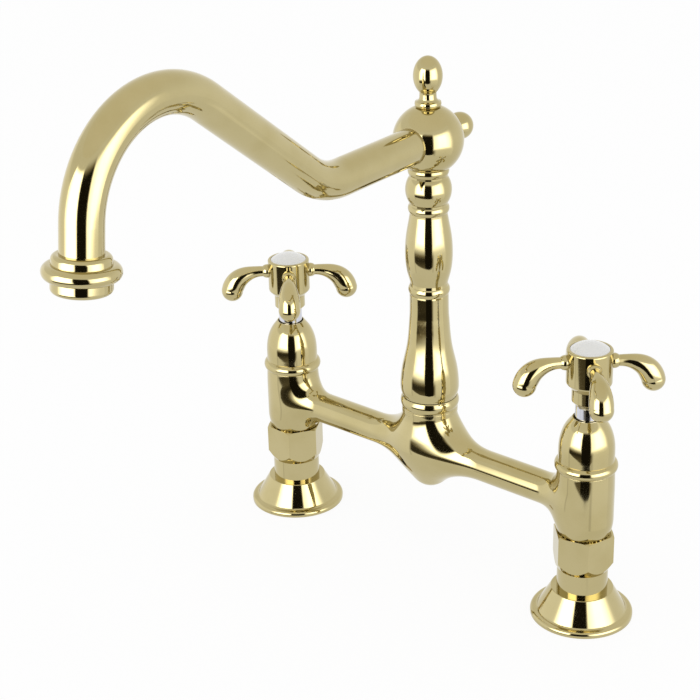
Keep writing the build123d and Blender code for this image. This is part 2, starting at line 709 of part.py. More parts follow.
with BuildPart() as column:
    with BuildSketch(beside()):
        with BuildLine():
            Polyline(
                (STUD_R + FIT, COLUMN_BOTTOM), (NECK_R - 0.4, COLUMN_BOTTOM), (15.0, 99.8)
            )
            # long vase
            Spline(
                (15.0, 99.8),
                (15.85, 106.5),
                (14.5, 117.2),
                (12.2, 127.8),
                (10.75, 143.0),
                (10.4, 157.0),
                tangents=((0.55, 1), (0, 1)),
            )
            # narrow bead
            Line((10.4, 157.0), (10.3, 157.8))
            ThreePointArc((10.3, 157.8), (11.05, 160.2), (10.2, 162.6))
            Line((10.2, 162.6), (10.05, 164.2))
            # upper baluster
            Spline(
                (10.05, 164.2),
                (11.2, 168.6),
                (12.6, 181.0),
                (11.9, 191.0),
                (10.0, 202.0),
                tangents=((0.2, 1), (-0.15, 1)),
            )
            # two beads and the ring under the ball
            Line((10.0, 202.0), (9.95, 203.1))
            ThreePointArc((9.95, 203.1), (10.85, 205.4), (10.1, 207.6))
            Line((10.1, 207.6), (10.1, 208.6))
            ThreePointArc((10.1, 208.6), (12.15, 215.4), (10.05, 222.6))
            Line((10.05, 222.6), (10.05, 223.6))
            ThreePointArc((10.05, 223.6), (10.75, 225.6), (10.5, COLUMN_TOP))
            # tenon up into the ball, then down the waterway
            Polyline(
                (10.5, COLUMN_TOP),
                (TENON_R, COLUMN_TOP),
                (TENON_R, COLUMN_TOP + TENON),
                (COLUMN_BORE, COLUMN_TOP + TENON),
                (COLUMN_BORE, STUD_TOP + 0.1),
                (STUD_R + FIT, STUD_TOP + 0.1),
                (STUD_R + FIT, COLUMN_BOTTOM),
            )
        make_face()
    revolve(axis=Axis.Z)

# ---------------------------------------------------------------- ball head and its plugs
BALL_CAP_Z = BALL_Z + 17.0   # flat under the finial
EGG_Z = 275.4                # centre of the finial's egg, and its two half widths
EGG_R = 7.55
EGG_RISE = 10.2
EGG_START = -52.0            # where the neck runs into the egg, degrees below its middle
PLUG_REACH = 28.3            # centre of the small ball behind the big one
PLUG_R = 7.2
PLUG_WAIST = 3.6
PLUG_FACE = 17.7             # flat behind the big ball
TAPPED_R = 3.0               # screwed holes for the finial and the rear plug
TAPPED_DEEP = 8.2
TUBE_START = TENON_R + 1.5   # the tube's end stops this far from the column's axis
BRAZE = 0.02                 # radial gap of a brazed joint round the tube

# the spout's own directions: out along its reach, and across it
swing = radians(SWING)
reach_way = Vector(sin(swing), -cos(swing), 0)
across = Vector(cos(swing), sin(swing), 0)
up = Vector(0, 0, 1)
front = Plane(origin=(0, 0, TUBE_Z), x_dir=across, z_dir=reach_way)

with BuildPart() as ball_head:
    with Locations((0, 0, BALL_Z)):
        Sphere(BALL_R)
    # flats for the column, the finial and the rear plug
    split(bisect_by=Plane.XY.offset(COLUMN_TOP), keep=Keep.TOP)
    split(bisect_by=Plane.XY.offset(BALL_CAP_Z), keep=Keep.BOTTOM)
    split(bisect_by=front.offset(-PLUG_FACE), keep=Keep.TOP)
    # column tenon and waterway
    with BuildSketch(level(0, COLUMN_TOP)):
        Circle(TENON_R + FIT)
    extrude(amount=TENON + 0.1, mode=Mode.SUBTRACT)
    with BuildSketch(level(0, COLUMN_TOP)):
        Circle(COLUMN_BORE)
    extrude(amount=BALL_Z - COLUMN_TOP, mode=Mode.SUBTRACT)
    # socket for the tube, open to the waterway
    with BuildSketch(front.offset(TUBE_START - FIT)):
        Circle(TUBE_R + BRAZE)
    extrude(amount=BALL_R, mode=Mode.SUBTRACT)
    with BuildSketch(front):
        Circle(TUBE_R - TUBE_WALL)
    extrude(amount=TUBE_START, mode=Mode.SUBTRACT)
    # tapped holes for the finial and the rear plug
    with BuildSketch(level(0, BALL_CAP_Z - TAPPED_DEEP)):
        Circle(TAPPED_R)
    extrude(amount=TAPPED_DEEP, mode=Mode.SUBTRACT)
    with BuildSketch(front.offset(-PLUG_FACE)):
        Circle(TAPPED_R)
    extrude(amount=TAPPED_DEEP, mode=Mode.SUBTRACT)

with BuildPart() as finial:
    # flared foot, narrow neck and an egg on top, with a threaded stub below
    with BuildSketch(beside()):
        with BuildLine():
            egg = EllipticalCenterArc(
                (0, EGG_Z), EGG_R, EGG_RISE, start_angle=EGG_START, arc_size=90 - EGG_START
            )
            Polyline(
                (0, BALL_CAP_Z - 7.2),
                (TAPPED_R - 0.6, BALL_CAP_Z - 7.2),
                (TAPPED_R - FIT, BALL_CAP_Z - 6.6),
                (TAPPED_R - FIT, BALL_CAP_Z),
                (6.0, BALL_CAP_Z),
            )
            ThreePointArc(
                (6.0, BALL_CAP_Z), (6.85, BALL_CAP_Z + 1.8), (6.6, BALL_CAP_Z + 3.0)
            )
            ThreePointArc(
                (6.6, BALL_CAP_Z + 3.0), (4.95, BALL_CAP_Z + 3.9), (4.4, BALL_CAP_Z + 5.6)
            )
            Spline((4.4, BALL_CAP_Z + 5.6), egg @ 0, tangents=((-0.02, 1), egg % 0))
            Line(egg @ 1, (0, BALL_CAP_Z - 7.2))
        make_face()
    revolve(axis=Axis.Z)

with BuildPart() as rear_plug:
    # small ball on a waisted stem, with a threaded stub into the big ball
    waist_reach = PLUG_REACH - sqrt(PLUG_R**2 - PLUG_WAIST**2)
    stub_end = PLUG_FACE - TAPPED_DEEP + 1.0
    with BuildSketch(Plane(origin=(0, 0, BALL_Z), x_dir=-reach_way, z_dir=across)):
        with BuildLine():
            Polyline(
                (stub_end, 0),
                (stub_end, TAPPED_R - 0.6),
                (stub_end + 0.6, TAPPED_R - FIT),
                (PLUG_FACE, TAPPED_R - FIT),
                (PLUG_FACE, PLUG_WAIST + 1.0),
                (PLUG_FACE + 1.0, PLUG_WAIST + 1.0),
            )
            ThreePointArc(
                (PLUG_FACE + 1.0, PLUG_WAIST + 1.0),
                (PLUG_FACE + 2.6, PLUG_WAIST - 0.2),
                (waist_reach, PLUG_WAIST),
            )
            ThreePointArc(
                (waist_reach, PLUG_WAIST), (PLUG_REACH, PLUG_R), (PLUG_REACH + PLUG_R, 0)
            )
            Line((PLUG_REACH + PLUG_R, 0), (stub_end, 0))
        make_face()
    revolve(axis=Axis((0, 0, BALL_Z), -reach_way))

# ---------------------------------------------------------------- spout tube and outlet
lean = radians(OUTLET_TILT)
climb = radians(RISE)
dip = (DIP_REACH, TUBE_Z)
# the rising run and the outlet leg would meet at the peak
peak_reach = (OUTLET_REACH - (TUBE_Z - OUTLET_Z - DIP_REACH * tan(climb)) * tan(lean)) / (
    1 + tan(climb) * tan(lean)
)
peak = (peak_reach, TUBE_Z + (peak_reach - DIP_REACH) * tan(climb))
TUBE_IN_COLLAR = 9.8         # height of the tube's end over the mouth
COLLAR_TOP = 16.4
tube_end = (
    OUTLET_REACH - TUBE_IN_COLLAR * sin(lean),
    OUTLET_Z + TUBE_IN_COLLAR * cos(lean),
)

with BuildPart() as spout_tube:
    with BuildLine(Plane(origin=(0, 0, 0), x_dir=reach_way, z_dir=-across)) as tube_path:
        FilletPolyline((TUBE_START, TUBE_Z), dip, peak, tube_end, radius=(DIP_BEND, PEAK_BEND))
    with BuildSketch(front.offset(TUBE_START)):
        Circle(TUBE_R)
        Circle(TUBE_R - TUBE_WALL, mode=Mode.SUBTRACT)
    sweep(path=tube_path.line)

mouth = reach_way * OUTLET_REACH + up * OUTLET_Z
leg_up = up * cos(lean) - reach_way * sin(lean)
outlet_level = Plane(origin=mouth, x_dir=across, z_dir=leg_up)
outlet_side = Plane(origin=mouth, x_dir=across, z_dir=across.cross(leg_up))
outlet_axis = Axis(mouth, leg_up)
BAND_R = TUBE_R + 3.575      # lower band of the collar
AERATOR_R = BAND_R - 2.2
INSERT_R = AERATOR_R - 1.25
INSERT_BOTTOM = 1.7
INSERT_TOP = 7.2
AERATOR_SEAL = 1.2
BORE_TOP = INSERT_TOP + AERATOR_SEAL             # end of the collar's wide bore
JET_R = 0.9
JET_RINGS = ((INSERT_R / 3, 6), (2 * INSERT_R / 3, 12))

with BuildPart() as outlet_collar:
    # bevelled top, fat bead and a plain lower band; threaded inside for the aerator
    with BuildSketch(outlet_side):
        with BuildLine():
            Polyline(
                (TUBE_R + BRAZE, TUBE_IN_COLLAR),
                (TUBE_R + BRAZE, COLLAR_TOP),
                (BAND_R - 2.3, COLLAR_TOP),
            )
            ThreePointArc(
                (BAND_R - 2.3, COLLAR_TOP),
                (BAND_R - 0.9, COLLAR_TOP - 0.8),
                (BAND_R - 0.35, COLLAR_TOP - 2.0),
            )
            Line((BAND_R - 0.35, COLLAR_TOP - 2.0), (BAND_R - 0.2, 12.3))
            ThreePointArc((BAND_R - 0.2, 12.3), (BAND_R + 3.7, 8.7), (BAND_R, 5.5))
            Line((BAND_R, 5.5), (BAND_R, 2.2))
            ThreePointArc((BAND_R, 2.2), (BAND_R - 0.5, 0.7), (BAND_R - 1.6, 0))
            Polyline(
                (BAND_R - 1.6, 0),
                (AERATOR_R, 0),
                (AERATOR_R, BORE_TOP),
                (TUBE_R - TUBE_WALL, BORE_TOP),
                (TUBE_R - TUBE_WALL, TUBE_IN_COLLAR),
                (TUBE_R + BRAZE, TUBE_IN_COLLAR),
            )
        make_face()
    revolve(axis=outlet_axis)

with BuildPart() as aerator_shell:
    # threaded brass ring that carries the insert
    with BuildSketch(outlet_side):
        with BuildLine():
            Polyline(
                (INSERT_R - 0.85, 0.6),
                (AERATOR_R - FIT, 0.6),
                (AERATOR_R - FIT, INSERT_TOP),
                (INSERT_R + FIT, INSERT_TOP),
                (INSERT_R + FIT, INSERT_BOTTOM - 0.1),
                (INSERT_R - 0.85, INSERT_BOTTOM - 0.1),
                close=True,
            )
        make_face()
    revolve(axis=outlet_axis)

with BuildPart() as aerator_insert:
    # plastic insert with rings of small jets
    with BuildSketch(outlet_level.offset(INSERT_BOTTOM)):
        Circle(INSERT_R)
        for ring, count in JET_RINGS:
            with PolarLocations(ring, count):
                Circle(JET_R, mode=Mode.SUBTRACT)
    extrude(amount=INSERT_TOP - INSERT_BOTTOM)

with BuildPart() as aerator_seal:
    # flat washer between the insert and the end of the collar's bore
    with BuildSketch(outlet_level.offset(INSERT_TOP)):
        Circle(AERATOR_R - 0.2)
        Circle(AERATOR_R - 2.5, mode=Mode.SUBTRACT)
    extrude(amount=AERATOR_SEAL)

# ---------------------------------------------------------------- write every piece
pieces = {
    "bridge_body": bridge_body.part,
    "swivel_nut": swivel_nut.part,
    "friction_washer": friction_washer,
    "spigot": spigot.part,
    "column": column.part,
    "ball_head": ball_head.part,
    "finial": finial.part,
    "rear_plug": rear_plug.part,
    "spout_tube": spout_tube.part,
    "outlet_collar": outlet_collar.part,
    "aerator_shell": aerator_shell.part,
    "aerator_insert": aerator_insert.part,
    "aerator_seal": aerator_seal.part,
}
for number, seal_z in enumerate(SEAL_HEIGHTS, start=1):
    pieces[f"spigot_seal_{number}"] = seal_ring(0, seal_z, SPIGOT_R, SEAL_SIDE)

for side, leg_x, handle_turn, nut_turn in (
    ("left", -LEG, LEFT_TURN, LEFT_NUT_TURN),
    ("right", LEG, RIGHT_TURN, RIGHT_NUT_TURN),
):
    pieces[f"{side}_bonnet"] = make_bonnet(leg_x)
    pieces[f"{side}_cartridge_body"] = make_cartridge_body(leg_x)
    pieces[f"{side}_seat_seal"] = make_seat_seal(leg_x)
    pieces[f"{side}_fixed_disc"] = make_fixed_disc(leg_x)
    pieces[f"{side}_moving_disc"] = make_moving_disc(leg_x)
    pieces[f"{side}_stem"] = make_stem(leg_x)
    pieces[f"{side}_stem_seal"] = seal_ring(leg_x, STEM_SEAL_Z, STEM_R + 0.02, STEM_SEAL_SIDE)
    pieces[f"{side}_handle"] = make_handle(leg_x, handle_turn)
    pieces[f"{side}_handle_screw"] = make_handle_screw(leg_x)
    pieces[f"{side}_index_button"] = make_index_button(leg_x)
    pieces[f"{side}_union_nut"] = make_union_nut(leg_x, nut_turn)
    pieces[f"{side}_union_washer"] = washer(
        leg_x, COLLAR_FACE, VALVE_BOTTOM, WATERWAY, UNION_R - 0.2
    )
    pieces[f"{side}_shank"] = make_shank(leg_x)
    pieces[f"{side}_sleeve"] = washer(leg_x, FLANGE_TOP, NUT_BOTTOM - 0.1, SHANK_R + FIT, SLEEVE_R)
    pieces[f"{side}_flange"] = make_flange(leg_x)
    pieces[f"{side}_flange_gasket"] = washer(
        leg_x, 0, GASKET_TOP, FLANGE_R - 4.9, FLANGE_R - 1.6
    )
    pieces[f"{side}_deck_gasket"] = washer(
        leg_x, GASKET_FACE, -DECK, SHANK_R + 0.1, SHANK_R + 7.1
    )
    pieces[f"{side}_deck_washer"] = washer(
        leg_x, WASHER_FACE, GASKET_FACE, SHANK_R + 0.1, SHANK_R + 6.1
    )
    pieces[f"{side}_locknut"] = make_locknut(leg_x)

for name, piece in pieces.items():
    piece.label = name
    export_step(piece, f"parts/{name}.step")
    print(name, round(piece.volume), piece.is_valid)
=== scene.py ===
import json
import math

import bpy
import numpy as np
from mathutils import Matrix, Vector


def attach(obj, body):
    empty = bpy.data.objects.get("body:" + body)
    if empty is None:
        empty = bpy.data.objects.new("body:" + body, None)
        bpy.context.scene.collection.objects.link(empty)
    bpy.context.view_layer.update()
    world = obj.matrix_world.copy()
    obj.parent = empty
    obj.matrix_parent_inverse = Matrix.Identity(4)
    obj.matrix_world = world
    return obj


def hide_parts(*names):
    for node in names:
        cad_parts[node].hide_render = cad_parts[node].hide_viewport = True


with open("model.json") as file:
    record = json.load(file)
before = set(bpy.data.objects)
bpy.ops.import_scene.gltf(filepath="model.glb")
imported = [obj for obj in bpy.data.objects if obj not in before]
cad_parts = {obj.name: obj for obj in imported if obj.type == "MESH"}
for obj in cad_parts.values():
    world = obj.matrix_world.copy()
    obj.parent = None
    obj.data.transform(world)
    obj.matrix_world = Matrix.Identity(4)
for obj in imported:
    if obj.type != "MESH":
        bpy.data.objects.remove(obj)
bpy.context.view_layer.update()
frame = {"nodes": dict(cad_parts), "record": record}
nodes = frame["nodes"]
record = frame["record"]


# ---------------------------------------------------------------- camera: fitted to the photograph
def make_camera():
    """Camera at the photograph's viewpoint."""
    focal_px, picture_px, sensor = 1735.9, 700, 36
    place = (0.5294, -0.6669, 0.5086)
    yaw, pitch, roll = math.radians(41.32), math.radians(24.25), math.radians(1.53)
    fwd = Vector((-math.sin(yaw) * math.cos(pitch), math.cos(yaw) * math.cos(pitch), -math.sin(pitch)))
    right = Vector((math.cos(yaw), math.sin(yaw), 0))
    down = fwd.cross(right)
    right, down = (
        right * math.cos(roll) + down * math.sin(roll),
        down * math.cos(roll) - right * math.sin(roll),
    )
    data = bpy.data.cameras.new("camera")
    data.sensor_width = sensor
    data.lens = focal_px * sensor / picture_px
    data.clip_start = 0.01
    data.clip_end = 20
    camera = bpy.data.objects.new("camera", data)
    axes = Matrix((right, -down, -fwd)).transposed().to_4x4()
    camera.matrix_world = Matrix.Translation(place) @ axes
    bpy.context.scene.collection.objects.link(camera)
    bpy.context.scene.camera = camera


# ---------------------------------------------------------------- small helpers for node trees
class Tree:
    """A node tree with short calls that add and join nodes."""

    def __init__(self, tree):
        self.tree = tree
        tree.nodes.clear()

    def add(self, kind, inputs=None, **settings):
        node = self.tree.nodes.new(kind)
        for name, value in settings.items():
            setattr(node, name, value)
        for name, value in (inputs or {}).items():
            if isinstance(value, bpy.types.NodeSocket):
                self.tree.links.new(value, node.inputs[name])
            else:
                node.inputs[name].default_value = value
        return node

    def math(self, operation, a, b=0.0, clamp=False):
        node = self.add("ShaderNodeMath", {0: a, 1: b}, operation=operation, use_clamp=clamp)
        return node.outputs[0]

    def fade(self, value, start, end, low=0.0, high=1.0):
        """Smooth step from low to high as value goes from start to end."""
        node = self.add(
            "ShaderNodeMapRange",
            {"Value": value, "From Min": start, "From Max": end, "To Min": low, "To Max": high},
            interpolation_type="SMOOTHSTEP",
        )
        return node.outputs[0]

    def noise(self, scale, detail=3.0, rough=0.55, vector=None):
        inputs = {"Scale": scale, "Detail": detail, "Roughness": rough}
        if vector is not None:
            inputs["Vector"] = vector
        return self.add("ShaderNodeTexNoise", inputs).outputs["Fac"]

    def place(self):
        return self.add("ShaderNodeTexCoord").outputs["Object"]

    def mix(self, factor, a, b):
        node = self.add("ShaderNodeMix", data_type="RGBA")
        for socket, value in ((node.inputs[0], factor), (node.inputs[6], a), (node.inputs[7], b)):
            if isinstance(value, bpy.types.NodeSocket):
                self.tree.links.new(value, socket)
            else:
                socket.default_value = value
        return node.outputs[2]


def material(name, build):
    """New material whose tree build(tree, shader) completes."""
    made = bpy.data.materials.new(name)
    made.use_nodes = True
    tree = Tree(made.node_tree)
    shader = tree.add("ShaderNodeBsdfPrincipled")
    build(tree, shader)
    tree.add("ShaderNodeOutputMaterial", {"Surface": shader.outputs[0]})
    return made


def rgb(r, g, b):
    """Opaque colour for a node's socket."""
    return (r, g, b, 1.0)


# ---------------------------------------------------------------- materials
WEAR_WIDTH = 0.0007          # metres on each side of an edge


def edge_wear(t):
    """1 along the edges of a piece and 0 on its faces, broken up so that the wear isn't even."""
    rounded = t.add("ShaderNodeBevel", {"Radius": WEAR_WIDTH}, samples=6).outputs[0]
    face_normal = t.add("ShaderNodeNewGeometry").outputs["Normal"]
    alike = t.add("ShaderNodeVectorMath", {0: rounded, 1: face_normal}, operation="DOT_PRODUCT")
    edges = t.fade(alike.outputs["Value"], 0.985, 0.80)
    patches = t.fade(t.noise(260.0, 4.0, vector=t.place()), 0.3, 0.6)
    return t.math("MULTIPLY", edges, patches)


def metal(base, deep, worn, roughness, spread, wave=0.02, grain=0.0):
    """Metal with slight colour patches, smears in its gloss, worn edges and a faintly uneven surface."""

    def build(t, s):
        place = t.place()
        patches = t.noise(38.0, 4.0, vector=place)
        colour = t.mix(t.fade(patches, 0.35, 0.75), rgb(*base), rgb(*deep))
        wear = edge_wear(t)
        t.tree.links.new(t.mix(wear, colour, rgb(*worn)), s.inputs["Base Color"])
        s.inputs["Metallic"].default_value = 1.0
        smears = t.fade(t.noise(120.0, 5.0, 0.6, place), 0.3, 0.8, roughness, roughness + spread)
        gloss = t.math("ADD", smears, t.math("MULTIPLY", wear, 0.12))
        t.tree.links.new(gloss, s.inputs["Roughness"])
        uneven = t.noise(60.0, 2.0, vector=place)
        fine = t.noise(2400.0, 2.0, vector=place)
        height = t.math("ADD", uneven, t.math("MULTIPLY", fine, grain))
        bump = t.add("ShaderNodeBump", {"Strength": wave, "Distance": 0.001, "Height": height})
        t.tree.links.new(bump.outputs[0], s.inputs["Normal"])

    return build


def plain(base, deep, roughness, spread, scale=300.0, bump_strength=0.1, coat=0.0):
    """Rubber, plastic or ceramic: a mottled colour with an uneven gloss."""

    def build(t, s):
        place = t.place()
        mottle = t.noise(scale, 4.0, vector=place)
        wear = edge_wear(t)
        paler = tuple(min(0.9, 1.12 * v + 0.01) for v in base)
        colour = t.mix(wear, t.mix(mottle, rgb(*base), rgb(*deep)), rgb(*paler))
        t.tree.links.new(colour, s.inputs["Base Color"])
        gloss = t.fade(mottle, 0.2, 0.8, roughness, roughness + spread)
        t.tree.links.new(t.math("ADD", gloss, t.math("MULTIPLY", wear, 0.1)), s.inputs["Roughness"])
        s.inputs["Coat Weight"].default_value = coat
        s.inputs["Coat Roughness"].default_value = 0.03
        bump = t.add("ShaderNodeBump", {"Strength": bump_strength, "Distance": 0.0002, "Height": mottle})
        t.tree.links.new(bump.outputs[0], s.inputs["Normal"])

    return build


# A metal's colour, deeper patches, worn edges, roughness and its spread; the others have no worn colour.
FINISHES = {
    "polished_brass": metal((0.50, 0.43, 0.225), (0.46, 0.39, 0.19), (0.58, 0.48, 0.25), 0.05, 0.04),
    "raw_brass": metal((0.55, 0.42, 0.19), (0.42, 0.31, 0.13), (0.66, 0.53, 0.28), 0.22, 0.16, 0.1, 0.4),
    "plated_brass": metal((0.62, 0.63, 0.69), (0.56, 0.57, 0.64), (0.60, 0.52, 0.34), 0.06, 0.06),
    "zinc_steel": metal((0.60, 0.61, 0.60), (0.48, 0.50, 0.47), (0.68, 0.68, 0.66), 0.25, 0.15, 0.1, 0.3),
    "porcelain": plain((0.77, 0.77, 0.75), (0.73, 0.73, 0.71), 0.10, 0.05, 60.0, 0.03, 0.3),
    "disc_ceramic": plain((0.78, 0.76, 0.70), (0.72, 0.70, 0.64), 0.15, 0.08),
    "black_rubber": plain((0.022, 0.022, 0.023), (0.035, 0.034, 0.033), 0.5, 0.2, 500.0, 0.3),
    "white_plastic": plain((0.75, 0.75, 0.72), (0.70, 0.70, 0.67), 0.35, 0.1, 400.0, 0.1),
}


def finish_nodes():
    """Every CAD node gets its slot's procedural material."""
    made = {slot: material(slot, build) for slot, build in FINISHES.items()}
    for part in record["subparts"]:
        obj = nodes[part["node"]]
        obj.data.materials.clear()
        obj.data.materials.append(made[part["material_slot"]])
    return made


# ---------------------------------------------------------------- bridge casting
# Sizes in millimetres, as in the CAD node that this skin stands for.
LEG = 101.6                  # from the middle body's axis to a valve body's
ARM_Z, ARM_R, ARM_BORE = 66.3, 8.7, 5.0
NECK_R, NECK_TOP, NECK_SEAM = 15.2, 91.8, 89.2     # ring round the socket's mouth
VALVE_R, VALVE_TOP, VALVE_SHOULDER = 15.1, 86.0, 50.0
THREAD_R, THREAD_BOTTOM = 13.2, 41.5               # for the union nuts
WATERWAY = 7.0
# Sizes of the skin alone.
THREAD_TOP = 51.5            # end of the thread, inside the valve body
THROAT_R = NECK_R - 0.3      # neck under the ring
THROAT_TOP = NECK_SEAM + 1.3                       # its end, hidden inside the ring
BOWL_BOTTOM, BOWL_R, BOWL_TOP = 44.2, 7.5, 71.0    # round tip, and where the neck's cone starts
WAIST, WAIST_TOP, WAIST_BOTTOM = 1.3, 58.0, 50.0   # how far the valve bodies narrow to their union nuts
RIM_R = VALVE_R - 0.3        # upper rim of the valve bodies
RIM_START = 74.0             # where they begin to narrow to it
ARM_SHORT = 8.0              # the arms' round ends stop this far from the valve bodies' axes
MIDDLE_BLEND, VALVE_BLEND = 24.0, 11.0
NECK_BLEND, NECK_BLEND_FROM, NECK_BLEND_TO = 15.0, 76.0, 90.0    # what the middle blend shrinks to, and where
OUTER, ENDS = 50.0, 60.0     # from here outwards the valve bodies' blend holds, and the cuts at their ends
# Bores and their floors, a little wider and deeper than those of the CAD node.
SPIGOT_BORE, SPIGOT_FLOOR = 9.4, 56.6
SOCKET_BORE, SOCKET_FLOOR = 13.2, 82.1
VALVE_BORE, VALVE_FLOOR = 12.4, 51.6
CASTING_BOX = ((-118.3, -20.5, 40.3), (118.3, 20.5, 93.0))
CELL = 1.0                   # size of the casting's faces
RING_BORE, RING_BOTTOM, RING_EDGE, RING_SIDES = SOCKET_BORE - 0.2, NECK_SEAM + 0.02, 0.35, 128


def ramp(value, start, end):
    """Straight line from 0 at start to 1 at end, level beyond them."""
    return np.clip((value - start) / (end - start), 0, 1)


def blended(a, b, reach):
    """Union of two distances with a soft blend over that reach."""
    share = np.maximum(reach - np.abs(a - b), 0) / reach
    return np.minimum(a, b) - share * share * reach / 4


def middle_body(out, z):
    """Distance from a straight neck that narrows in a cone to a round tip. out is the way from its axis."""
    height = BOWL_TOP - BOWL_BOTTOM - BOWL_R
    lean = (BOWL_R - THROAT_R) / height
    side = math.sqrt(1 - lean * lean)
    up = z - BOWL_BOTTOM - BOWL_R
    along = up * side - out * lean
    tip = np.hypot(out, up) - BOWL_R
    cone = out * side + up * lean - BOWL_R
    shoulder = np.hypot(out, up - height) - THROAT_R
    bowl = np.where(along < 0, tip, np.where(along > side * height, shoulder, cone))
    return np.where(up > height, out - THROAT_R, bowl)


def valve_body(leg, z):
    """Distance from a turned valve body that narrows at both ends. leg is the way from its axis."""
    lower = WAIST * ramp(z, WAIST_TOP, WAIST_BOTTOM) ** 2
    upper = (VALVE_R - RIM_R) * ramp(z, RIM_START, VALVE_TOP) ** 2
    return leg - (VALVE_R - lower - upper)


def bores(x, y, z, out, leg):
    """Distance from the casting's hollows."""
    spigot = np.minimum(
        np.maximum(out - SPIGOT_BORE, SPIGOT_FLOOR - z), np.maximum(out - SOCKET_BORE, SOCKET_FLOOR - z)
    )
    valve = np.minimum(np.maximum(leg - VALVE_BORE, VALVE_FLOOR - z), leg - WATERWAY)
    arm = np.maximum(np.hypot(y, z - ARM_Z) - ARM_BORE, x - LEG)
    return np.minimum(np.minimum(spigot, valve), arm)


def casting(p):
    """Signed distance of each point, in millimetres, from the skin of the bridge casting."""
    x, y, z = np.abs(p[:, 0]), p[:, 1], p[:, 2]
    out, leg = np.hypot(x, y), np.hypot(x - LEG, y)
    arm = np.sqrt(np.maximum(x - LEG + ARM_SHORT, 0) ** 2 + y**2 + (z - ARM_Z) ** 2) - ARM_R
    reach = MIDDLE_BLEND + (NECK_BLEND - MIDDLE_BLEND) * ramp(z, NECK_BLEND_FROM, NECK_BLEND_TO) ** 2
    middle = np.maximum(blended(middle_body(out, z), arm, reach), z - THROAT_TOP)
    valve = blended(valve_body(leg, z), arm, VALVE_BLEND)
    cut = np.maximum(valve, np.maximum(z - VALVE_TOP, VALVE_SHOULDER - z))
    skin = np.where(x > ENDS, cut, np.where(x > OUTER, valve, middle))
    thread = np.maximum(leg - THREAD_R, np.maximum(THREAD_BOTTOM - z, z - THREAD_TOP))
    return np.maximum(np.minimum(skin, thread), -bores(x, y, z, out, leg))


def slope(field, p, small=0.02):
    """Direction in which the field grows, and how steeply."""
    grown = [field(p + small * e) - field(p - small * e) for e in np.eye(3)]
    return np.stack(grown, -1) / (2 * small)


def offset_view(array, offset, span):
    """The span of array that starts at offset."""
    return array[tuple(slice(o, o + n) for o, n in zip(offset, span))]


def first_corners(value, size):
    """Number of each cell that the level crosses, or -1, and the middle of its crossed edges, in cells."""
    inside = value < 0
    count = sum(offset_view(inside, at, size).astype(int) for at in np.ndindex(2, 2, 2))
    mixed = (count > 0) & (count < 8)
    index = np.full(mixed.shape, -1)
    index[mixed] = np.arange(mixed.sum())
    place, hits = np.zeros(mixed.shape + (3,)), np.zeros(mixed.shape)
    for axis in range(3):
        for first, second in np.ndindex(2, 2):
            start = np.zeros(3, int)
            start[(axis + 1) % 3], start[(axis + 2) % 3] = first, second
            end = start.copy()
            end[axis] = 1
            a, b = offset_view(value, start, size), offset_view(value, end, size)
            crossed = (a < 0) != (b < 0)
            share = np.where(crossed, a / np.where(a == b, 1.0, a - b), 0)
            for other in range(3):
                place[..., other] += crossed * (share if other == axis else start[other])
            hits += crossed
    return index, np.argwhere(mixed) + place[mixed] / hits[mixed][:, None]


def crossing_faces(inside, index, size):
    """A face round each grid edge that passes through the level, facing outwards."""
    faces = []
    for axis in range(3):
        b, c = (axis + 1) % 3, (axis + 2) % 3
        span = size.copy()
        span[[b, c]] -= 1
        here = np.ones(3, int)
        here[axis] = 0
        first, last = offset_view(inside, here, span), offset_view(inside, np.ones(3, int), span)
        quad = []
        for db, dc in ((0, 0), (1, 0), (1, 1), (0, 1)):
            at = np.zeros(3, int)
            at[b], at[c] = db, dc
            quad.append(offset_view(index, at, span))
        quad = np.stack(quad, -1)
        faces.append(quad[first & ~last])
        faces.append(quad[~first & last][:, ::-1])
    return np.concatenate(faces)


def skin_mesh(field, low, high, cell):
    """Corners, faces and normals of the field's zero level: one corner in each cell that it crosses."""
    axes = [np.arange(a, b + cell, cell) for a, b in zip(low, high)]
    grid = np.stack(np.meshgrid(*axes, indexing="ij"), -1)
    value = field(grid.reshape(-1, 3)).reshape(grid.shape[:3])
    size = np.array(value.shape) - 1
    index, cells = first_corners(value, size)
    corners = np.array(low) + cell * cells
    # the corners are pulled onto the level in a few short steps
    for _ in range(4):
        steep = slope(field, corners)
        push = -field(corners)[:, None] * steep / np.maximum((steep**2).sum(-1), 0.05)[:, None]
        corners = corners + np.clip(push, -0.4 * cell, 0.4 * cell)
    steep = slope(field, corners)
    normals = steep / np.maximum(np.linalg.norm(steep, axis=-1), 1e-6)[:, None]
    return corners, crossing_faces(value < 0, index, size), normals


def sharpen_rims(shell, cell):
    """Pull the corners nearest to the valve bodies' upper rims onto those rims, so that they are crisp."""
    corners, faces, normals = shell
    out = corners[:, :2] - np.stack([np.sign(corners[:, 0]) * LEG, np.zeros(len(corners))], -1)
    far = np.linalg.norm(out, axis=-1)
    near = (np.abs(corners[:, 2] - VALVE_TOP) < 0.65 * cell) & (np.abs(far - RIM_R) < 0.75 * cell)
    out /= far[:, None]
    corners[near, :2] += (RIM_R - far[near])[:, None] * out[near]
    corners[near, 2] = VALVE_TOP
    normals[near] = np.concatenate([out[near], np.zeros((near.sum(), 1))], -1)
    return corners, faces, normals


def rounded_section(inner, outer, bottom, top, edge, steps=5):
    """Loop of a rounded rectangle in radius and height, anticlockwise."""
    loop = []
    for r, z, start in ((outer, bottom, -90), (outer, top, 0), (inner, top, 90), (inner, bottom, 180)):
        middle_r = r - edge if r == outer else r + edge
        middle_z = z - edge if z == top else z + edge
        for i in range(steps + 1):
            a = math.radians(start + 90 * i / steps)
            loop.append((middle_r + edge * math.cos(a), middle_z + edge * math.sin(a)))
    return loop


